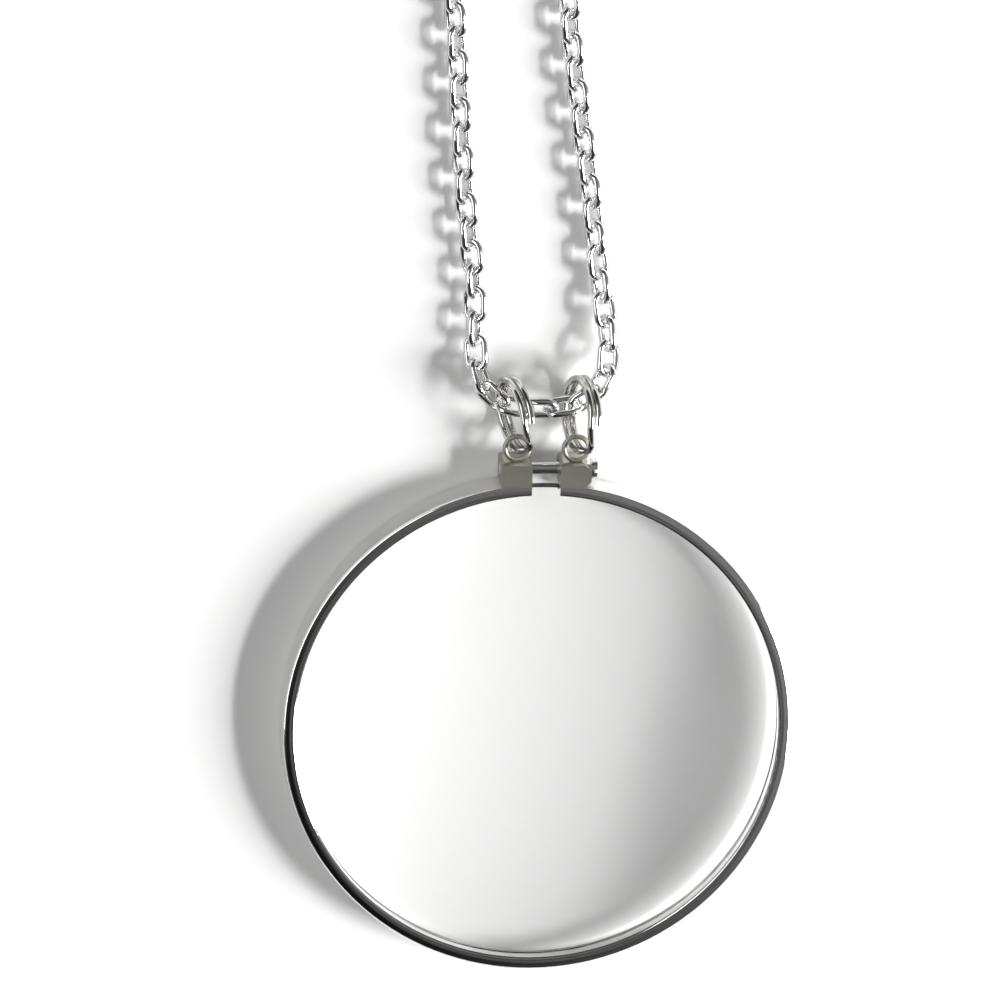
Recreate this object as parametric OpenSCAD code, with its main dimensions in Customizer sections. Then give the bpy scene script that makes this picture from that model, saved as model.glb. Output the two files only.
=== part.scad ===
// Magnifier pendant lying on its back, with its chain laid round as a loop.
// The lens axis is +Z, the lugs and the chain are toward +Y, and the origin is at the centre of the
// rim's flat underside.

/* [Rim] */
// Outer diameter of the rim
rim_od = 50; // [40:0.5:70]
// Height of the rim along the lens axis
rim_h = 4; // [3.7:0.1:5]
// Width of the rim's band, from its outside to its inside
rim_w = 1.2; // [1.1:0.05:2]
// Radius of the rounded edges of the band
rim_round = 0.2; // [0.1:0.05:0.5]
// Width of the split in the rim, between the lugs
split_w = 2.8; // [2.2:0.1:4]

/* [Lens] */
// Depth that the lens edge reaches into the rim's groove
seat_depth = 0.5; // [0.3:0.05:0.55]
// Thickness of the lens at its edge
lens_edge = 1.4; // [1:0.1:1.7]
// Height of each of the two domes of the lens
lens_dome = 1.1; // [0.3:0.05:1.2]
// Gap between the lens and its groove
lens_gap = 0.06; // [0.02:0.01:0.1]

/* [Lugs] */
// Width of each lug, along the screw
lug_w = 3; // [2.4:0.1:4.5]
// Distance that the lugs stand out beyond the rim
lug_out = 2.1; // [2:0.05:4]
// Small bevel on the edges of the lugs
lug_bevel = 0.25; // [0.1:0.05:0.5]
// Large bevel on the free corner of the right lug
corner_bevel = 0.8; // [0.4:0.1:1.2]

/* [Screw] */
// Diameter of the screw's shaft
screw_d = 1.2; // [0.9:0.05:1.4]
// Diameter of the screw's head
head_d = 2.1; // [1.8:0.1:2.6]
// Thickness of the screw's head
head_t = 0.6; // [0.4:0.05:1]
// Width of the slot in the head
slot_w = 0.35; // [0.2:0.05:0.5]
// Gap round the shaft and under the head
screw_gap = 0.08; // [0.05:0.01:0.15]

/* [Eyelets] */
// Diameter of the wire of each eyelet
eye_wire = 0.5; // [0.4:0.05:0.7]
// Diameter of each eyelet's hole
eye_hole = 1.9; // [1.8:0.05:2.6]
// Length of the foot between each eyelet and its lug
eye_foot = 0.15; // [0.1:0.05:1]
// Depth of the eyelets' middle plane below the top of the rim
eye_drop = 0.8; // [0.4:0.05:2]

/* [Split rings] */
// Outer diameter of each split ring
ring_od = 7.8; // [7.4:0.1:8.6]
// Diameter of the wire of the split rings
ring_wire = 0.7; // [0.5:0.05:0.8]
// Gap between the two turns of a split ring
turn_gap = 0.06; // [0.03:0.01:0.15]
// Angle between the split rings and the floor, their higher side at the right
ring_lean = 75; // [70:1:82]
// Angle by which the left split ring is turned to the left, seen from above
left_turn = 9; // [4:0.5:12]
// Angle by which the right split ring is turned to the left, seen from above
right_turn = -1.5; // [-4:0.5:3]
// Distance that the split rings are pulled toward the chain in their eyelets
ring_pull = 0.2; // [0.1:0.05:0.25]
// Height of the split rings above the floor
ring_clear = 0.02; // [0:0.01:0.2]

/* [Chain] */
// Width of the chain
chain_w = 2.4; // [2:0.05:2.8]
// Height of the chain above the floor where it lies
chain_clear = 0.05; // [0.02:0.01:0.2]
// Distance from the eyelets to the clasp behind the neck
loop_reach = 330; // [280:1:380]

/* [Clasp] */
// Length of the clasp's barrel
clasp_len = 9; // [6:0.5:14]
// Diameter of the clasp's barrel
clasp_d = 3.4; // [3:0.1:4.5]
// Diameter of the wire of the clasp's eyes
clasp_wire = 0.8; // [0.6:0.05:1]
// Diameter of the holes in the clasp's eyes
clasp_hole = 2; // [1.6:0.1:2.6]
// Gap between the chain's ends and the clasp
clasp_gap = 0.15; // [0.1:0.05:0.4]

/* [Hidden] */
$fn = 96;
// How far a cutting shape runs past what it cuts
over = 1;
// Faces of the groove's cutter, and of the round wires of the eyelets and the clasp
groove_fn = 192;
wire_fn = 32;

// Radii of the rim and of the lens in its groove
rim_ro = rim_od / 2;
rim_ri = rim_ro - rim_w;
lens_r = rim_ri + seat_depth;
mid_z = rim_h / 2;
// Steps of each rounded corner of the band
corner_steps = 5;

// Radius of each dome of the lens, and height of the groove where the lens leaves it
dome_r = (lens_r * lens_r + lens_dome * lens_dome) / (2 * lens_dome);
groove_h = lens_edge + 2 * (dome(rim_ri) + lens_gap);
// Steps from the lens axis to its edge
dome_steps = 16;

// Lugs, screw and eyelets
lug_x = split_w / 2;
lug_end = lug_x + lug_w;
lug_y = rim_ro + lug_out;
lug_root = rim_ro - rim_w / 2;
screw_y = rim_ro + lug_out / 2;
eye_r = (eye_hole + eye_wire) / 2;
eye_x = lug_x + lug_w / 2;
eye_y = lug_y + eye_foot + eye_r;
eye_z = rim_h - eye_drop;

// Split rings: centre line, distance between the two turns, and the place of the centre from the eyelet
// before the ring is turned
turn_r = (ring_od - ring_wire) / 2;
turn_step = ring_wire + turn_gap;
ring_z = ring_clear + turn_r * sin(ring_lean) + turn_step / 2 * cos(ring_lean) + ring_wire / 2;
eye_below = (ring_z - eye_z) / sin(ring_lean);
ring_out = ring_pull + sqrt(turn_r * turn_r - eye_below * eye_below);
ring_from_eye = [eye_below * cos(ring_lean), ring_out, ring_z - eye_z];
// Where the wire of a split ring ends after it has gone round almost twice from the right, and the stretch
// of the round over which it crosses from one turn to the other
ring_last = 656;
cross_first = 298;
cross_span = 60;
// Steps along a split ring, and sides of its wire
ring_steps = 82;
ring_sides = 10;

// The route below is given for these two sizes. As far as route_near from the eyelets it follows the split
// rings' diameter, and beyond that the reach of the loop.
route_ring = 7.8;
route_loop = 330;
route_near = 18;
near_k = ring_od / route_ring;
far_k = (loop_reach - route_near * near_k) / (route_loop - route_near);

// Clasp: its axis lies along X behind the neck, a little left of the lens axis
clasp_left = 7;
clasp_at = [-clasp_left * far_k, eye_y + loop_reach, clasp_d / 2 + chain_clear];
clasp_eye_r = (clasp_hole + clasp_wire) / 2;
clasp_eye_x = clasp_len / 2 + clasp_eye_r;
clasp_end = clasp_eye_x + clasp_eye_r + clasp_wire / 2 + clasp_gap;

// Route of the chain's centre line through both split rings: x, y from the eyelets, lift above where it
// lies, and the number of steps to the next point
chain_z = chain_w / 2 + chain_clear;
route = [
    [-31, 327.5, 0, 3],
    [-49, 318, 0, 3],
    [-64.5, 300, 0, 3],
    [-73, 275, 0, 2],
    [-74.5, 246, 0, 2],
    [-70, 214, 0, 2],
    [-62, 182, 0, 2],
    [-51, 153, 0, 2],
    [-39, 125, 0, 2],
    [-27, 98, 0, 2],
    [-17, 73, 0, 2],
    [-12, 57, 0, 1],
    [-10.5, 45, 0, 1],
    [-9.6, 35, 0, 1],
    [-8.7, 25, 0, 1],
    [-7.6, 17, 0, 1],
    [-7.3, 12.4, 0.1, 1],
    [-7.2, 9.4, 0.4, 1],
    [-6.75, 6.8, 0.95, 1],
    [-5.4, 4.85, 1.5, 1],
    [-3.3, 4.15, 1.8, 1],
    [-0.7, 4.1, 2, 1],
    [2, 4.3, 2.1, 1],
    [4.3, 5.4, 1.9, 1],
    [5.7, 7.9, 1.5, 1],
    [5.6, 11.6, 0.7, 1],
    [4.7, 17, 0.1, 1],
    [3.6, 25, 0, 1],
    [2, 35, 0, 1],
    [0.7, 45, 0, 1],
    [0.3, 58, 0, 1],
    [3.3, 74, 0, 2],
    [13, 98, 0, 2],
    [25, 125, 0, 2],
    [37, 153, 0, 2],
    [48, 182, 0, 2],
    [56, 214, 0, 2],
    [60.5, 246, 0, 2],
    [59, 275, 0, 3],
    [50.5, 300, 0, 3],
    [35, 318, 0, 3],
    [17, 327.5, 0, 2],
];
chain_sides = 8;

// Points that the chain passes, from one eye of the clasp to the other, each with its number of steps
function near(p) = p.y <= route_near;
function at_x(p) = p.x * (near(p) ? near_k : far_k);
function at_y(p) = eye_y + (near(p) ? p.y * near_k : route_near * near_k + (p.y - route_near) * far_k);
stops = concat(
    [[clasp_at.x - clasp_end, clasp_at.y, clasp_at.z, 2]],
    [for (p = route) [at_x(p), at_y(p), chain_z + p.z * near_k, p[3]]],
    [[clasp_at.x + clasp_end, clasp_at.y, clasp_at.z, 0]]
);

// Place of a stop, and a smooth curve through four such places
function stop(i) = let (p = stops[min(max(i, 0), len(stops) - 1)]) [p.x, p.y, p.z];
function curve(a, b, c, d, t) =
    (2 * b + (c - a) * t + (2 * a - 5 * b + 4 * c - d) * t * t + (3 * b - a - 3 * c + d) * t * t * t) / 2;
chain_line = concat(
    [for (i = [0:len(stops) - 2]) for (k = [0:stops[i][3] - 1])
        curve(stop(i - 1), stop(i), stop(i + 1), stop(i + 2), k / stops[i][3])],
    [stop(len(stops) - 1)]
);

// Direction of a line of points at one of them
function heading(line, i) =
    let (d = line[min(i + 1, len(line) - 1)] - line[max(i - 1, 0)]) d / norm(d);

// Closed tube through rings of points that all have the same number of sides
module tube(rings) {
    n = len(rings[0]);
    last = len(rings) - 1;
    points = [for (ring = rings) for (p = ring) p];
    sides = [for (i = [0:last - 1]) for (k = [0:n - 1]) let (m = (k + 1) % n)
        each [[i * n + k, i * n + m, (i + 1) * n + m], [i * n + k, (i + 1) * n + m, (i + 1) * n + k]]];
    ends = [[for (k = [0:n - 1]) n - 1 - k], [for (k = [0:n - 1]) last * n + k]];
    polyhedron(points = points, faces = concat(sides, ends), convexity = 10);
}

// Outline of the rim's band with its rounded corners
function corner(cx, cy, start) =
    [for (k = [0:corner_steps]) let (a = start + 90 * k / corner_steps)
        [cx + rim_round * cos(a), cy + rim_round * sin(a)]];
band = concat(
    corner(rim_ro - rim_round, rim_round, -90),
    corner(rim_ro - rim_round, rim_h - rim_round, 0),
    corner(rim_ri + rim_round, rim_h - rim_round, 90),
    corner(rim_ri + rim_round, rim_round, 180)
);

// One lug with its free corner bevelled, standing on the +X side of the split
module lug(free_bevel) {
    top = lug_y;
    intersection() {
        linear_extrude(height = rim_h)
            polygon([
                [lug_x, lug_root],
                [lug_end - free_bevel, lug_root],
                [lug_end, lug_root + free_bevel],
                [lug_end, top - free_bevel],
                [lug_end - free_bevel, top],
                [lug_x + lug_bevel, top],
                [lug_x, top - lug_bevel],
            ]);
        rotate([90, 0, 90])
            linear_extrude(height = lug_end + over)
                polygon([
                    [lug_root - over, 0],
                    [top - lug_bevel, 0],
                    [top, lug_bevel],
                    [top, rim_h - lug_bevel],
                    [top - lug_bevel, rim_h],
                    [lug_root - over, rim_h],
                ]);
    }
}

// Eyelet ring with the foot that joins it to the lug
module eyelet(x) {
    translate([x, eye_y, eye_z]) {
        rotate_extrude()
            translate([eye_r, 0])
                circle(d = eye_wire, $fn = wire_fn);
        translate([-eye_wire, -eye_r - eye_foot - lug_bevel, -eye_wire / 2])
            cube([2 * eye_wire, eye_foot + lug_bevel, eye_wire]);
    }
}

// Wire of a split ring, wound twice round and hung in the eyelet at x
module split_ring(x, turn) {
    rings = [for (i = [0:ring_steps])
        let (t = ring_last * i / ring_steps,
             s = min(max((t - cross_first) / cross_span, 0), 1),
             h = turn_step * (s * s * (3 - 2 * s) - 0.5))
        [for (k = [0:ring_sides - 1])
            let (a = 360 * (k + 0.5) / ring_sides,
                 r = turn_r + ring_wire / 2 * cos(a))
            [r * cos(t), r * sin(t), h - ring_wire / 2 * sin(a)]]];
    translate([x, eye_y, eye_z])
        rotate([0, 0, turn])
            translate(ring_from_eye)
                rotate([0, -ring_lean, 0])
                    tube(rings);
}

module rim() {
    color("silver")
        difference() {
            union() {
                rotate_extrude() polygon(band);
                lug(corner_bevel);
                mirror([1, 0, 0]) lug(lug_bevel);
                eyelet(eye_x);
                eyelet(-eye_x);
            }
            translate([0, 0, mid_z - groove_h / 2])
                cylinder(r = lens_r + lens_gap, h = groove_h, $fn = groove_fn);
            translate([-lug_x, rim_ri - over, -over])
                cube([split_w, rim_w + lug_out + 2 * over, rim_h + 2 * over]);
            translate([-lug_end - over, screw_y, mid_z])
                rotate([0, 90, 0])
                    cylinder(d = screw_d + 2 * screw_gap, h = 2 * (lug_end + over));
        }
}

// Height of a dome of the lens above its edge, at a distance from the lens axis
function dome(r) = sqrt(dome_r * dome_r - r * r) - (dome_r - lens_dome);

module lens() {
    top = [for (k = [0:dome_steps]) let (r = lens_r * (1 - k / dome_steps)) [r, lens_edge / 2 + dome(r)]];
    bottom = [for (k = [0:dome_steps]) let (r = lens_r * k / dome_steps) [r, -lens_edge / 2 - dome(r)]];
    color("azure", 0.4)
        translate([0, 0, mid_z])
            rotate_extrude()
                polygon(concat(top, bottom));
}

module clamp_screw() {
    color("lightgray")
        translate([0, screw_y, mid_z])
            rotate([0, 90, 0])
                difference() {
                    union() {
                        translate([0, 0, -lug_end]) cylinder(d = screw_d, h = 2 * lug_end + screw_gap);
                        translate([0, 0, lug_end + screw_gap]) cylinder(d = head_d, h = head_t);
                    }
                    translate([-head_d, -slot_w / 2, lug_end + screw_gap + head_t / 2])
                        cube([2 * head_d, slot_w, head_t]);
                }
}

module split_ring_left() {
    color("silver") split_ring(-eye_x, left_turn);
}

module split_ring_right() {
    color("silver") split_ring(eye_x, right_turn);
}

module chain() {
    color("gainsboro")
        tube([for (i = [0:len(chain_line) - 1])
            let (ahead = heading(chain_line, i),
                 side = cross(ahead, [0, 0, 1]) / norm(cross(ahead, [0, 0, 1])),
                 up = cross(side, ahead))
            [for (k = [0:chain_sides - 1])
                let (a = 360 * (k + 0.5) / chain_sides)
                chain_line[i] + chain_w / 2 * (side * cos(a) + up * sin(a))]]);
}

module clasp() {
    taper = clasp_d / 4;
    color("silver")
        translate(clasp_at) {
            rotate([0, 90, 0])
                rotate_extrude()
                    polygon([
                        [0, -clasp_len / 2],
                        [clasp_d / 2 - taper, -clasp_len / 2],
                        [clasp_d / 2, taper - clasp_len / 2],
                        [clasp_d / 2, clasp_len / 2 - taper],
                        [clasp_d / 2 - taper, clasp_len / 2],
                        [0, clasp_len / 2],
                    ]);
            for (side = [-1, 1])
                translate([side * clasp_eye_x, 0, 0])
                    rotate_extrude()
                        translate([clasp_eye_r, 0])
                            circle(d = clasp_wire, $fn = wire_fn);
        }
}

rim();
lens();
clamp_screw();
split_ring_left();
split_ring_right();
chain();
clasp();
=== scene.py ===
"""Looks of a magnifier pendant on its chain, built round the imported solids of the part.

All sizes are millimetres, times MM where Blender needs metres. The lens axis is +Z, the chain lies toward +Y.
"""

import math

import bpy
from mathutils import Matrix, Vector


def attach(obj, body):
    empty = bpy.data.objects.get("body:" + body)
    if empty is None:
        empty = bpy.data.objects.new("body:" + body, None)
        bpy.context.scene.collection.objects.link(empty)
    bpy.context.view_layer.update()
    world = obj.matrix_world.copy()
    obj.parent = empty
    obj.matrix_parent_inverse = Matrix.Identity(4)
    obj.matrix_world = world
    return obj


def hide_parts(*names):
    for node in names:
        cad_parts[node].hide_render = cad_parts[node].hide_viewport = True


MM = 0.001

# Sizes repeated from the part's source
RIM_HEIGHT = 4.0
RIM_OUTER = 25.0
LENS_RADIUS = 24.3
LENS_EDGE = 1.4
LENS_DOME = 1.1
EYE_X = 2.9  # middle of the right eyelet; the left one is its mirror image
EYE_Y = 28.45
EYE_Z = 3.2
TURN_RADIUS = 3.55  # split rings: middle of the wire
TURN_STEP = 0.76  # from the middle of one turn to the next
RING_WIRE = 0.7
RING_LEAN = 75  # degrees from lying flat
LEFT_TURN = 9  # degrees to the left, seen from above
RIGHT_TURN = -1.5
RING_PULL = 0.2  # distance that the rings are pulled toward the chain in their eyelets
RING_CLEAR = 0.02  # gap under the rings
RING_LAST = 656  # degrees that the wire winds round
CROSS_FIRST = 298  # degrees at which it starts to cross from one turn to the other
CROSS_SPAN = 60
LOOP_REACH = 330  # from the eyelets to the clasp, along Y
CLASP_AT = (-7.0, EYE_Y + LOOP_REACH, 1.75)
CLASP_LENGTH = 9.0
CLASP_WIDTH = 3.4
CLASP_EYE_RADIUS = 1.4
CLASP_WIRE = 0.8
CLASP_GROOVE = ((0, 0.25), (0.06, 0.12), (0.22, 0.1))  # between its halves: depth, distance from the middle
CLASP_GAP = 0.15  # between an eye of the clasp and the end of the chain's route
CHAIN_Z = 1.25  # height at which the chain's centre line lies
CLASP_LIFT = 0.5  # rise of its two ends into the clasp's eyes

# Route of the chain's centre line: x, y from the eyelets' middle, lift above where it lies
ROUTE = [
    (-31, 327.5, 0), (-49, 318, 0), (-64.5, 300, 0), (-73, 275, 0), (-74.5, 246, 0), (-70, 214, 0),
    (-62, 182, 0), (-51, 153, 0), (-39, 125, 0), (-27, 98, 0), (-17, 73, 0), (-12, 57, 0),
    (-10.5, 45, 0), (-9.6, 35, 0), (-8.7, 25, 0), (-7.6, 17, 0), (-7.3, 12.4, 0.1), (-7.2, 9.4, 0.4),
    (-6.75, 6.8, 0.95), (-5.4, 4.85, 1.5), (-3.3, 4.15, 1.8), (-0.7, 4.1, 2), (2, 4.3, 2.1), (4.3, 5.4, 1.9),
    (5.7, 7.9, 1.5), (5.6, 11.6, 0.7), (4.7, 17, 0.1), (3.6, 25, 0), (2, 35, 0), (0.7, 45, 0),
    (0.3, 58, 0), (3.3, 74, 0), (13, 98, 0), (25, 125, 0), (37, 153, 0), (48, 182, 0),
    (56, 214, 0), (60.5, 246, 0), (59, 275, 0), (50.5, 300, 0), (35, 318, 0), (17, 327.5, 0),
]

# Links of the chain
LINK_COUNT = 311
LINK_LENGTH = 4.06
LINK_WIDTH = 2.7
LINK_WIRE = 0.74
LINK_ROLL = -30  # degrees from standing on edge
LINK_TWIST = -15  # further roll of the links that lie free between the clasp and the split rings
LINKS_HELD = 5  # links next to the clasp, and next to the chain's middle, that aren't rolled further
LINKS_TWISTED = 13  # links from there on are rolled by the whole twist
LINK_PLAY = 2.5  # largest random roll
LINK_SEED = 3
LINK_REACH = 6.915  # from the clasp's middle to the first joint, inside the clasp's eye
LINE_STEP = 0.4  # between the points of the chain's line

# Finish of the metal and the glass
SILVER = (0.90, 0.895, 0.885, 1)
SILVER_SHADE = (0.80, 0.79, 0.775, 1)
WIRE_SILVER = (0.90, 0.90, 0.90, 1)
WIRE_SHADE = (0.80, 0.80, 0.795, 1)
RING_SILVER = (0.66, 0.655, 0.63, 1)
RING_SHADE = (0.52, 0.51, 0.48, 1)
SCREW_STEEL = (0.86, 0.86, 0.85, 1)
SCREW_SHADE = (0.72, 0.71, 0.70, 1)
LUG_TARNISH = (0.40, 0.395, 0.34, 1)
LUG_SATIN = 0.3  # added to the roughness on the lugs
LUGS_FROM, LUGS_FULLY = RIM_OUTER - 0.6, RIM_OUTER - 0.2  # where the lugs' finish begins, along Y
WAVE_HEIGHT = 0.008  # unevenness of the polished faces
RUB_HEIGHT = 0.0002  # depth of the rubbing marks
CREST_RADIUS = 24.1  # highest line of the rim's slightly rounded top face
CROWN = 0.2  # fall of that face for each square millimetre away from the crest
RIPPLE_HEIGHT = 0.006  # turning marks round the same face
RIPPLE_PITCH = 0.42
GLASS_IOR = 1.52

# How the lamps reach the table past the rim and through the lens
TOWARD_WINDOW = (0.978, -0.208, 0.0)
LIGHT_GAP = 1.8  # height below which the rim's wall throws no shadow on the window's side
GAP_EDGE = 0.05  # distance above and below that height over which this fades
GAP_FADE = 8.0  # distance toward the window over which the light gap opens
DOME_LEAN = 0.47  # lean of the lens's edge for lamp light, as a slope
LIMIT_IOR = 1.11  # index at which straight lamp rays meet the limit that bent ones would

# Camera, light and table
PICTURE = 1002  # width of the photo in pixels
PIXELS_PER_METRE = 10250  # at the point that the camera looks at
SENSOR = 36.0
CAMERA_DISTANCE = 1.6  # metres
TO_CAMERA = Vector((-0.108, 0.30, 0.948)).normalized()
CAMERA_RIGHT = Vector((0.995, 0.038, 0.108))
LOOK_AT = Vector((-4.17, 22.65, 2.0)) * MM
LIGHT_TARGET = Vector((0, 20, 0)) * MM
TABLE_REACH = 4  # metres

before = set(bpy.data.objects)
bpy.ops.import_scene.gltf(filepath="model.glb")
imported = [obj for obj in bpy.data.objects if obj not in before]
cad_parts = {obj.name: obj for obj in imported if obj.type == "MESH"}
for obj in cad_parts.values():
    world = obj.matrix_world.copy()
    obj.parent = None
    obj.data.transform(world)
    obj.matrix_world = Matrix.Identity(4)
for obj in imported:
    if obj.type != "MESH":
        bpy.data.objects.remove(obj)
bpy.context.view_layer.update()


# Node trees
class Wire:
    """An output socket of a node. Python's operators on it add Math nodes to its tree."""

    def __init__(self, board, socket):
        self.board = board
        self.socket = socket

    def __add__(self, other):
        return self.board.function("ADD", self, other)

    def __radd__(self, other):
        return self.board.function("ADD", other, self)

    def __sub__(self, other):
        return self.board.function("SUBTRACT", self, other)

    def __rsub__(self, other):
        return self.board.function("SUBTRACT", other, self)

    def __mul__(self, other):
        return self.board.function("MULTIPLY", self, other)

    def __rmul__(self, other):
        return self.board.function("MULTIPLY", other, self)

    def __pow__(self, other):
        return self.board.function("POWER", self, other)


class Board:
    """A node tree, in which one call makes a node: its type, its settings, then its sockets' values or wires."""

    def __init__(self, tree):
        self.tree = tree

    def node(self, kind, settings=None, sockets=None, out=0):
        made = self.tree.nodes.new(kind)
        for name, value in (settings or {}).items():
            setattr(made, name, value)
        for key, value in (sockets or {}).items():
            if isinstance(value, Wire):
                self.tree.links.new(value.socket, made.inputs[key])
            else:
                made.inputs[key].default_value = value
        return Wire(self, made.outputs[out]) if made.outputs else made

    def part(self, kind, output):
        """One output, by name, of a node that takes no input."""
        return Wire(self, self.tree.nodes.new(kind).outputs[output])

    def function(self, operation, *values):
        """A function of values that Python has no operator for."""
        return self.node("ShaderNodeMath", {"operation": operation}, dict(enumerate(values)))

    def vector(self, operation, *values, out=0):
        return self.node("ShaderNodeVectorMath", {"operation": operation}, dict(enumerate(values)), out)

    def along(self, place, way):
        """How far a place lies along a direction."""
        return self.vector("DOT_PRODUCT", place, way, out=1)

    def scaled(self, vector, factor):
        return self.node("ShaderNodeVectorMath", {"operation": "SCALE"}, {"Vector": vector, "Scale": factor})

    def mix(self, factor, first, second):
        """Mixes two colours."""
        return self.node("ShaderNodeMix", {"data_type": "RGBA"}, {0: factor, 6: first, 7: second}, out=2)

    def between(self, wire, low, high):
        """0 at the low value and 1 at the high one, with a smooth rise between them."""
        return self.node(
            "ShaderNodeMapRange",
            {"interpolation_type": "SMOOTHSTEP"},
            {"Value": wire, "From Min": low, "From Max": high, "To Min": 0.0, "To Max": 1.0},
        )

    def noise(self, place, scale, detail=2.0, roughness=0.5):
        return self.node(
            "ShaderNodeTexNoise", None, {"Vector": place, "Scale": scale, "Detail": detail, "Roughness": roughness}
        )


def surface(name):
    """A new material with an empty tree, its board, and the place on the object in millimetres."""
    material = bpy.data.materials.new(name)
    material.use_nodes = True
    material.node_tree.nodes.clear()
    board = Board(material.node_tree)
    place = board.part("ShaderNodeTexCoord", "Object")
    return material, board, board.scaled(place, 1 / MM)


# Materials
def rounded_face(board, place, height):
    """Adds to a height the rim's top face: highest on its crest, with turning marks that come and go."""
    flat_place = board.vector("MULTIPLY", place, (1.0, 1.0, 0.0))
    radius = board.vector("LENGTH", flat_place, out=1)
    inside = board.function("MINIMUM", radius, RIM_OUTER)
    crown = CROWN * (inside - CREST_RADIUS) ** 2.0
    ripple = board.function("COSINE", inside * (math.tau / RIPPLE_PITCH))
    marked = board.between(board.noise(place, 0.12, 2.0), 0.35, 0.6)
    return height - crown + ripple * marked * RIPPLE_HEIGHT


def lit_underneath(board, place, metal):
    """Lets lamp rays, and nothing else, through the lowest part of the rim's wall on the window's side.

    The photo shows a bright crescent there, from light that gets in under the rim.
    """
    above_table = board.along(place, (0.0, 0.0, 1.0))
    low = board.between(above_table, LIGHT_GAP + GAP_EDGE, LIGHT_GAP - GAP_EDGE)
    window_side = board.between(board.along(place, TOWARD_WINDOW), 0.0, GAP_FADE)
    clear = board.node("ShaderNodeBsdfTransparent")
    let_through = board.node("ShaderNodeMixShader", None, {0: low * window_side, 1: metal, 2: clear})
    lamp_ray = board.part("ShaderNodeLightPath", "Is Shadow Ray")
    return board.node("ShaderNodeMixShader", None, {0: lamp_ray, 1: metal, 2: let_through})


def polished_metal(name, colour, shade, roughness, scratch, is_rim=False):
    """Bright polished metal with fine rubbing marks, faint dull patches and a slightly uneven face.

    The rim has a rounded top face besides, and its lugs are duller and darker.
    """
    material, board, place = surface(name)
    patches = board.between(board.noise(place, 0.35, 3.0), 0.35, 0.7)
    stretched = board.vector("MULTIPLY", place, (1.0, 9.0, 1.0))
    rubbing = board.between(board.noise(stretched, 2.2, 4.0, 0.7), 0.45, 0.75)
    crossing = board.vector("MULTIPLY", place, (8.0, 1.2, 3.0))
    hairlines = board.between(board.noise(crossing, 1.6, 5.0, 0.75), 0.62, 0.7)
    tint = board.mix(patches * 0.6 + rubbing * 0.2, colour, shade)
    dullness = roughness + patches * (roughness * 0.5) + rubbing * scratch + hairlines * scratch
    height = board.noise(place, 0.9, 2.0) * WAVE_HEIGHT + rubbing * RUB_HEIGHT
    if is_rim:
        height = rounded_face(board, place, height)
        on_lugs = board.between(board.along(place, (0.0, 1.0, 0.0)), LUGS_FROM, LUGS_FULLY)
        dullness = dullness + on_lugs * LUG_SATIN
        tint = board.mix(on_lugs, tint, LUG_TARNISH)
    bump = board.node("ShaderNodeBump", None, {"Strength": 1.0, "Distance": MM, "Height": height})
    shader = board.node(
        "ShaderNodeBsdfPrincipled",
        None,
        {"Base Color": tint, "Metallic": 1.0, "Roughness": dullness, "Normal": bump},
    )
    if is_rim:
        shader = lit_underneath(board, place, shader)
    board.node("ShaderNodeOutputMaterial", None, {"Surface": shader})
    return material


def lens_glass():
    """Clear glass that lets the lamps through, with a few specks of dust and faint wiping marks."""
    material, board, place = surface("clear lens glass")
    specks = board.node(
        "ShaderNodeTexVoronoi", {"feature": "F1"}, {"Vector": place, "Scale": 0.16, "Randomness": 1.0}
    )
    dust = board.between(specks, 0.03, 0.012)
    wiped = board.between(board.noise(place, 0.12, 3.0), 0.4, 0.8)
    shader = board.node(
        "ShaderNodeBsdfPrincipled",
        None,
        {
            "Base Color": board.mix(dust, (1.0, 1.0, 1.0, 1), (0.75, 0.73, 0.72, 1)),
            "Roughness": dust * 0.3 + wiped * 0.004,
            "IOR": GLASS_IOR,
            "Transmission Weight": 1.0,
        },
    )
    # Lamps shine straight through, but the domes turn low light back inside the glass, and more of it toward the
    # side that the light comes from. A weak index and a leaning normal give the same limit to a straight ray.
    clear = board.node("ShaderNodeBsdfTransparent", None, {"Color": (0.983, 0.983, 0.983, 1)})
    lean = DOME_LEAN / LENS_RADIUS
    outward = board.vector("MULTIPLY", place, (lean, lean, 0.0))
    normal = board.part("ShaderNodeNewGeometry", "Normal")
    leaning = board.vector("NORMALIZE", board.vector("ADD", normal, outward))
    mirrored = board.node("ShaderNodeFresnel", None, {"IOR": LIMIT_IOR, "Normal": leaning})
    turned_back = mirrored * board.part("ShaderNodeNewGeometry", "Backfacing")
    lamp_ray = board.function(
        "MAXIMUM",
        board.part("ShaderNodeLightPath", "Is Shadow Ray"),
        board.part("ShaderNodeLightPath", "Is Diffuse Ray"),
    )
    both = board.node("ShaderNodeMixShader", None, {0: lamp_ray * (1.0 - turned_back), 1: shader, 2: clear})
    board.node("ShaderNodeOutputMaterial", None, {"Surface": both})
    return material


def table_top():
    """Matt white paper with a hardly visible grain."""
    material, board, place = surface("white paper")
    grain = board.noise(place, 0.8, 3.0)
    colour = board.mix(grain, (0.915, 0.915, 0.91, 1), (0.925, 0.925, 0.92, 1))
    shader = board.node(
        "ShaderNodeBsdfPrincipled", None, {"Base Color": colour, "Roughness": 0.9, "Specular IOR Level": 0.1}
    )
    board.node("ShaderNodeOutputMaterial", None, {"Surface": shader})
    return material


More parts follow.
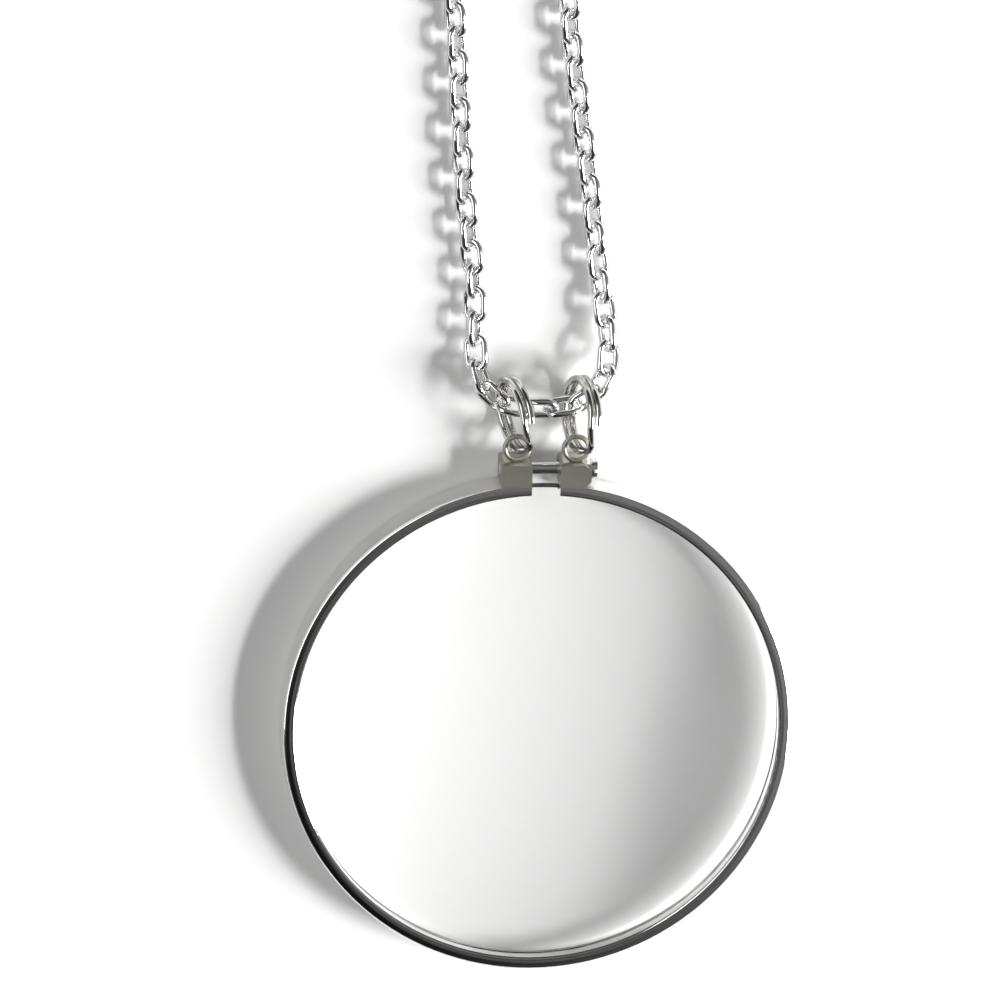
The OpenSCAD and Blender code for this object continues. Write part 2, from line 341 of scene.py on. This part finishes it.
rim_metal = polished_metal("polished rim", SILVER, SILVER_SHADE, 0.07, 0.03, is_rim=True)
screw_metal = polished_metal("turned screw", SCREW_STEEL, SCREW_SHADE, 0.14, 0.06)
ring_metal = polished_metal("split ring wire", RING_SILVER, RING_SHADE, 0.09, 0.03)
chain_metal = polished_metal("chain wire", WIRE_SILVER, WIRE_SHADE, 0.10, 0.03)
clasp_metal = polished_metal("clasp barrel", SILVER, SILVER_SHADE, 0.09, 0.04)
glass = lens_glass()


# Meshes
def solid(name, points, faces, material, sharp=None):
    """A smooth-shaded piece from points in millimetres; sharp is the angle past which an edge stays crisp."""
    mesh = bpy.data.meshes.new(name)
    mesh.from_pydata([Vector(p) * MM for p in points], [], faces)
    mesh.materials.append(material)
    mesh.shade_smooth()
    if sharp:
        mesh.set_sharp_from_angle(angle=math.radians(sharp))
    mesh.update()
    piece = bpy.data.objects.new(name, mesh)
    bpy.context.scene.collection.objects.link(piece)
    return piece


def lathe(profile, sides, place=lambda x, y, z: (x, y, z)):
    """Points and faces of a profile of (radius, height) pairs turned about Z. It starts and ends on the axis."""
    points = [place(0, 0, profile[0][1])]
    for radius, height in profile[1:-1]:
        for k in range(sides):
            a = math.tau * k / sides
            points.append(place(radius * math.cos(a), radius * math.sin(a), height))
    points.append(place(0, 0, profile[-1][1]))
    rows = len(profile) - 2
    last = len(points) - 1
    faces = []
    for k in range(sides):
        m = (k + 1) % sides
        faces.append((0, 1 + m, 1 + k))
        for row in range(rows - 1):
            low, high = 1 + row * sides, 1 + (row + 1) * sides
            faces.append((low + k, low + m, high + m, high + k))
        faces.append((last, 1 + (rows - 1) * sides + k, 1 + (rows - 1) * sides + m))
    return points, faces


def wire_round(middle, wire, sides, first=0.0):
    """(radius, height) of each corner of a round wire's section, at the given radius from an axis."""
    corners = []
    for k in range(sides):
        a = math.tau * (k + first) / sides
        corners.append((middle + wire / 2 * math.cos(a), -wire / 2 * math.sin(a)))
    return corners


def tube(rings, closed=False):
    """Points and faces of a tube through rings of points with the same number of sides."""
    sides = len(rings[0])
    count = len(rings)
    points = [p for ring in rings for p in ring]
    faces = []
    for i in range(count if closed else count - 1):
        j = (i + 1) % count
        for k in range(sides):
            m = (k + 1) % sides
            faces.append((i * sides + k, i * sides + m, j * sides + m, j * sides + k))
    if not closed:
        faces.append(tuple(range(sides - 1, -1, -1)))
        faces.append(tuple((count - 1) * sides + k for k in range(sides)))
    return points, faces


def lens_piece():
    """The lens as one smooth body: two spherical domes on a short straight edge."""
    ball = (LENS_RADIUS**2 + LENS_DOME**2) / (2 * LENS_DOME)
    middle = RIM_HEIGHT / 2
    steps, sides = 40, 160

    def dome(r):
        return math.sqrt(ball**2 - r**2) - (ball - LENS_DOME)

    radii = [LENS_RADIUS * k / steps for k in range(steps + 1)]
    low = [(r, middle - LENS_EDGE / 2 - dome(r)) for r in radii]
    high = [(r, 2 * middle - z) for r, z in reversed(low)]
    points, faces = lathe(low + high, sides)
    return solid("lens_body", points, faces, glass, sharp=40)


def split_ring(name, side, turned):
    """A wire wound almost twice round, which crosses from one turn to the other at the lower right."""
    lean = math.radians(RING_LEAN)
    ring_z = RING_CLEAR + TURN_RADIUS * math.sin(lean) + TURN_STEP / 2 * math.cos(lean) + RING_WIRE / 2
    below = (ring_z - EYE_Z) / math.sin(lean)
    out = RING_PULL + math.sqrt(TURN_RADIUS**2 - below**2)
    centre = Vector((below * math.cos(lean), out, ring_z - EYE_Z))
    turn = Matrix.Rotation(math.radians(turned), 3, "Z")
    tip = Matrix.Rotation(-lean, 3, "Y")
    eyelet = Vector((side * EYE_X, EYE_Y, EYE_Z))
    section = wire_round(TURN_RADIUS, RING_WIRE, 14, first=0.5)
    steps = 180
    rings = []
    for i in range(steps + 1):
        degrees = RING_LAST * i / steps
        t = math.radians(degrees)
        s = min(max((degrees - CROSS_FIRST) / CROSS_SPAN, 0), 1)
        h = TURN_STEP * (s * s * (3 - 2 * s) - 0.5)
        wound = [Vector((r * math.cos(t), r * math.sin(t), h + z)) for r, z in section]
        rings.append([eyelet + turn @ (centre + tip @ p) for p in wound])
    points, faces = tube(rings)
    return solid(name, points, faces, ring_metal, sharp=50)


def quarter_round(centre_x, centre_y, radius, first):
    """Points of a quarter circle that starts at the given angle in degrees."""
    steps = 8
    turns = [math.radians(first) + math.pi / 2 * k / steps for k in range(steps + 1)]
    return [(centre_x + radius * math.cos(t), centre_y + radius * math.sin(t)) for t in turns]


def hidden_clasp():
    """A barrel clasp in two halves with a thin line between them, and a round eye at each end."""
    half = CLASP_LENGTH / 2
    width = CLASP_WIDTH / 2
    taper = CLASP_WIDTH / 4
    groove = [(width - depth, away) for depth, away in CLASP_GROOVE]
    profile = [(0, -half)]
    profile += quarter_round(width - taper, -half + taper, taper, -90)
    profile += [(radius, -away) for radius, away in groove] + groove[::-1]
    profile += quarter_round(width - taper, half - taper, taper, 0)
    profile += [(0, half)]
    x0, y0, z0 = CLASP_AT
    sides = 48
    points, faces = lathe(profile, sides, lambda x, y, z: (x0 + z, y0 + y, z0 - x))
    section = wire_round(CLASP_EYE_RADIUS, CLASP_WIRE, 12)
    turns = [math.tau * i / sides for i in range(sides)]
    for end in (-1, 1):
        eye_x = x0 + end * (half + CLASP_EYE_RADIUS)
        rings = [[(eye_x + r * math.cos(t), y0 + r * math.sin(t), z0 + z) for r, z in section] for t in turns]
        more, extra = tube(rings, closed=True)
        base = len(points)
        points += more
        faces += [tuple(base + i for i in face) for face in extra]
    return solid("clasp_barrel", points, faces, clasp_metal, sharp=35)


def chain_line():
    """Fine points along the chain, from inside one eye of the clasp to inside the other."""
    x0, y0 = CLASP_AT[:2]
    end_x = CLASP_LENGTH / 2 + 2 * CLASP_EYE_RADIUS + CLASP_WIRE / 2 + CLASP_GAP
    eye_z = CHAIN_Z + CLASP_LIFT
    stops = [(x0 - end_x, y0, eye_z)]
    stops += [(x, EYE_Y + y, CHAIN_Z + lift) for x, y, lift in ROUTE]
    stops += [(x0 + end_x, y0, eye_z)]
    stops = [Vector(p) for p in stops]
    line = [Vector((x0 - LINK_REACH, y0, eye_z))]
    for i in range(len(stops) - 1):
        a, b, c, d = stops[max(i - 1, 0)], stops[i], stops[i + 1], stops[min(i + 2, len(stops) - 1)]
        square = 2 * a - 5 * b + 4 * c - d
        cube = 3 * b - a - 3 * c + d
        steps = max(4, round((c - b).length / LINE_STEP))
        for k in range(steps):
            t = k / steps
            line.append((2 * b + (c - a) * t + square * t**2 + cube * t**3) / 2)
    return line + [stops[-1], Vector((x0 + LINK_REACH, y0, eye_z))]


def link_tree():
    """Node tree that lays interlocked oval links along a line, every second one turned across."""
    tree = bpy.data.node_groups.new("interlocked oval links", "GeometryNodeTree")
    tree.interface.new_socket("Line", in_out="INPUT", socket_type="NodeSocketGeometry")
    tree.interface.new_socket("Links", in_out="OUTPUT", socket_type="NodeSocketGeometry")
    for name, kind in (
        ("Link count", "NodeSocketInt"),
        ("Link length", "NodeSocketFloat"),
        ("Link width", "NodeSocketFloat"),
        ("Wire width", "NodeSocketFloat"),
        ("Roll", "NodeSocketFloat"),
        ("Twist", "NodeSocketFloat"),
        ("Play", "NodeSocketFloat"),
        ("Seed", "NodeSocketInt"),
        ("Metal", "NodeSocketMaterial"),
    ):
        tree.interface.new_socket(name, in_out="INPUT", socket_type=kind)
    board = Board(tree)
    given = tree.nodes.new("NodeGroupInput")

    def size(name):
        return Wire(board, given.outputs[name])

    # One link about the origin, its length along X and its flat side up: half circles joined by straight sides
    half_width = (size("Link width") - size("Wire width")) * 0.5
    path = board.node("GeometryNodeCurvePrimitiveCircle", None, {"Resolution": 14, "Radius": half_width})
    end = board.function("SIGN", board.along(board.node("GeometryNodeInputPosition"), (1.0, 0.0, 0.0)))
    straight = end * ((size("Link length") - size("Link width")) * 0.5)
    stretch = board.node("ShaderNodeCombineXYZ", None, {0: straight})
    oval = board.node("GeometryNodeSetPosition", None, {"Geometry": path, "Offset": stretch})
    wire = board.node(
        "GeometryNodeCurvePrimitiveCircle", None, {"Resolution": 6, "Radius": size("Wire width") * 0.5}
    )
    link = board.node("GeometryNodeCurveToMesh", None, {"Curve": oval, "Profile Curve": wire})
    link = board.node("GeometryNodeSetShadeSmooth", None, {"Geometry": link})

    # The joints between the links, and one point with a direction in the middle of each pair
    curve = board.node("GeometryNodeMeshToCurve", None, {"Mesh": size("Line")})
    joints = board.node("GeometryNodeResampleCurve", None, {"Curve": curve, "Count": size("Link count") + 1})
    pairs = board.node("GeometryNodeCurveToMesh", None, {"Curve": joints})
    ends = tree.nodes.new("GeometryNodeInputMeshEdgeVertices").outputs
    step = board.vector("SUBTRACT", Wire(board, ends["Position 2"]), Wire(board, ends["Position 1"]))
    kept = tree.nodes.new("GeometryNodeCaptureAttribute")
    kept.domain = "EDGE"
    kept.capture_items.new("VECTOR", "Direction")
    tree.links.new(pairs.socket, kept.inputs["Geometry"])
    tree.links.new(step.socket, kept.inputs["Direction"])
    marked = Wire(board, kept.outputs["Geometry"])
    middles = board.node("GeometryNodeMeshToPoints", {"mode": "EDGES"}, {"Mesh": marked})
    ahead = board.vector("NORMALIZE", Wire(board, kept.outputs["Direction"]))

    # Each link lies along its direction and is rolled about it, one way and then across
    side = board.vector("NORMALIZE", board.vector("CROSS_PRODUCT", ahead, (0.0, 0.0, 1.0)))
    up = board.vector("CROSS_PRODUCT", side, ahead)
    index = board.node("GeometryNodeInputIndex")
    across = board.function("MODULO", index, 2.0)
    play = board.node(
        "FunctionNodeRandomValue",
        {"data_type": "FLOAT"},
        {"Min": size("Play") * -1.0, "Max": size("Play"), "ID": index, "Seed": size("Seed")},
        out=1,
    )
    middle = size("Link count") * 0.5
    from_middle = board.function("ABSOLUTE", middle - index)
    from_stop = board.function("MINIMUM", from_middle, middle - from_middle)
    free = board.between(from_stop, LINKS_HELD, LINKS_TWISTED)
    roll = size("Roll") + size("Twist") * free + across * (math.pi / 2) + play
    rolled_side = board.scaled(side, board.function("COSINE", roll))
    rolled_up = board.scaled(up, board.function("SINE", roll))
    face = board.vector("ADD", rolled_side, rolled_up)
    turned = board.node(
        "FunctionNodeAxesToRotation",
        {"primary_axis": "X", "secondary_axis": "Z"},
        {"Primary Axis": ahead, "Secondary Axis": face},
    )
    laid = board.node(
        "GeometryNodeInstanceOnPoints", None, {"Points": middles, "Instance": link, "Rotation": turned}
    )
    real = board.node("GeometryNodeRealizeInstances", None, {"Geometry": laid})
    finished = board.node("GeometryNodeSetMaterial", None, {"Geometry": real, "Material": size("Metal")})
    board.node("NodeGroupOutput", None, {"Links": finished})
    return tree


def link_chain():
    """The whole chain of interlocked links, as one plain mesh."""
    line = chain_line()
    mesh = bpy.data.meshes.new("chain line")
    mesh.from_pydata([p * MM for p in line], [(i, i + 1) for i in range(len(line) - 1)], [])
    guide = bpy.data.objects.new("chain_links", mesh)
    bpy.context.scene.collection.objects.link(guide)
    tree = link_tree()
    modifier = guide.modifiers.new("links", "NODES")
    modifier.node_group = tree
    given = {
        "Link count": LINK_COUNT,
        "Link length": LINK_LENGTH * MM,
        "Link width": LINK_WIDTH * MM,
        "Wire width": LINK_WIRE * MM,
        "Roll": math.radians(LINK_ROLL),
        "Twist": math.radians(LINK_TWIST),
        "Play": math.radians(LINK_PLAY),
        "Seed": LINK_SEED,
        "Metal": chain_metal,
    }
    for item in tree.interface.items_tree:
        if item.in_out == "INPUT" and item.name in given:
            modifier[item.identifier] = given[item.name]
    depsgraph = bpy.context.evaluated_depsgraph_get()
    laid = bpy.data.meshes.new_from_object(guide.evaluated_get(depsgraph))
    guide.modifiers.clear()
    guide.data = laid
    return guide


# Camera and light
def aim(thing, place, target, up):
    """Puts a camera or light at a place, looking at the target with the given direction upward."""
    back = (Vector(place) - Vector(target)).normalized()
    right = Vector(up).cross(back).normalized()
    top = back.cross(right)
    turn = Matrix((right, top, back)).transposed().to_4x4()
    thing.matrix_world = Matrix.Translation(Vector(place)) @ turn
    bpy.context.scene.collection.objects.link(thing)


camera_data = bpy.data.cameras.new("photo camera")
camera_data.sensor_width = SENSOR
camera_data.lens = PIXELS_PER_METRE * CAMERA_DISTANCE * SENSOR / PICTURE
camera_data.clip_start = 0.05
camera_data.clip_end = 20
camera = bpy.data.objects.new("photo camera", camera_data)
aim(camera, LOOK_AT + TO_CAMERA * CAMERA_DISTANCE, LOOK_AT, TO_CAMERA.cross(CAMERA_RIGHT))
bpy.context.scene.camera = camera


def softbox(name, azimuth, elevation, distance, width, height, power):
    """A rectangular lamp aimed at the pendant: angles in degrees, lengths in metres."""
    lamp = bpy.data.lights.new(name, "AREA")
    lamp.shape = "RECTANGLE"
    lamp.size = width
    lamp.size_y = height
    lamp.energy = power
    piece = bpy.data.objects.new(name, lamp)
    around, above = math.radians(azimuth), math.radians(elevation)
    way = Vector((math.cos(around) * math.cos(above), math.sin(around) * math.cos(above), math.sin(above)))
    aim(piece, LIGHT_TARGET + way * distance, LIGHT_TARGET, (0, 0, 1))
    piece.visible_camera = False


def grey(level):
    return (level, level, level, 1)


def light_tent():
    """Pale walls low at both sides, dim ends, and a dark ceiling that gets lighter toward the window."""
    world = bpy.data.worlds.new("light tent")
    world.use_nodes = True
    world.node_tree.nodes.clear()
    board = Board(world.node_tree)
    way = board.part("ShaderNodeTexCoord", "Generated")  # the direction, as this is a world's tree
    height = board.along(way, (0.0, 0.0, 1.0))
    sideways = board.function("ABSOLUTE", board.along(way, (1.0, 0.0, 0.0)))
    wall = board.between(sideways, 0.45, 0.85) * board.between(height, 0.8, 0.3)
    window_side = board.between(board.along(way, (0.8, 0.6, 0.0)), -0.45, 0.3)
    ceiling = board.mix(window_side, grey(0.005), grey(0.19))
    room = board.mix(wall, grey(0.05), grey(0.28))
    colour = board.mix(board.between(height, 0.55, 0.8), room, ceiling)
    sky = board.node("ShaderNodeBackground", None, {"Color": colour, "Strength": 1.0})
    board.node("ShaderNodeOutputWorld", None, {"Surface": sky})
    bpy.context.scene.world = world


softbox("window at the right", azimuth=-12, elevation=27, distance=2.0, width=0.85, height=0.96, power=53)
softbox("top edge of the window", azimuth=-12, elevation=40, distance=2.0, width=0.6, height=0.15, power=19.5)
softbox("fill from the left", azimuth=168, elevation=52, distance=1.5, width=1.6, height=0.65, power=8)
light_tent()
bpy.context.scene.view_settings.view_transform = "Standard"

# The pendant
for node, material in (("rim", rim_metal), ("clamp_screw", screw_metal)):
    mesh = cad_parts[node].data
    mesh.materials.clear()
    mesh.materials.append(material)

for piece, node, slot in (
    (lens_piece(), "lens", "lens_glass"),
    (split_ring("split_ring_wire_left", -1, LEFT_TURN), "split_ring_left", "ring_metal"),
    (split_ring("split_ring_wire_right", 1, RIGHT_TURN), "split_ring_right", "ring_metal"),
    (link_chain(), "chain", "chain_metal"),
    (hidden_clasp(), "clasp", "clasp_metal"),
):
    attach(piece, "root")
    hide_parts(node)

floor_mesh = bpy.data.meshes.new("table")
corners = [(x * TABLE_REACH, y * TABLE_REACH, 0) for x, y in ((-1, -1), (1, -1), (1, 1), (-1, 1))]
floor_mesh.from_pydata(corners, [], [(0, 1, 2, 3)])
floor_mesh.materials.append(table_top())
floor = bpy.data.objects.new("table", floor_mesh)
bpy.context.scene.collection.objects.link(floor)
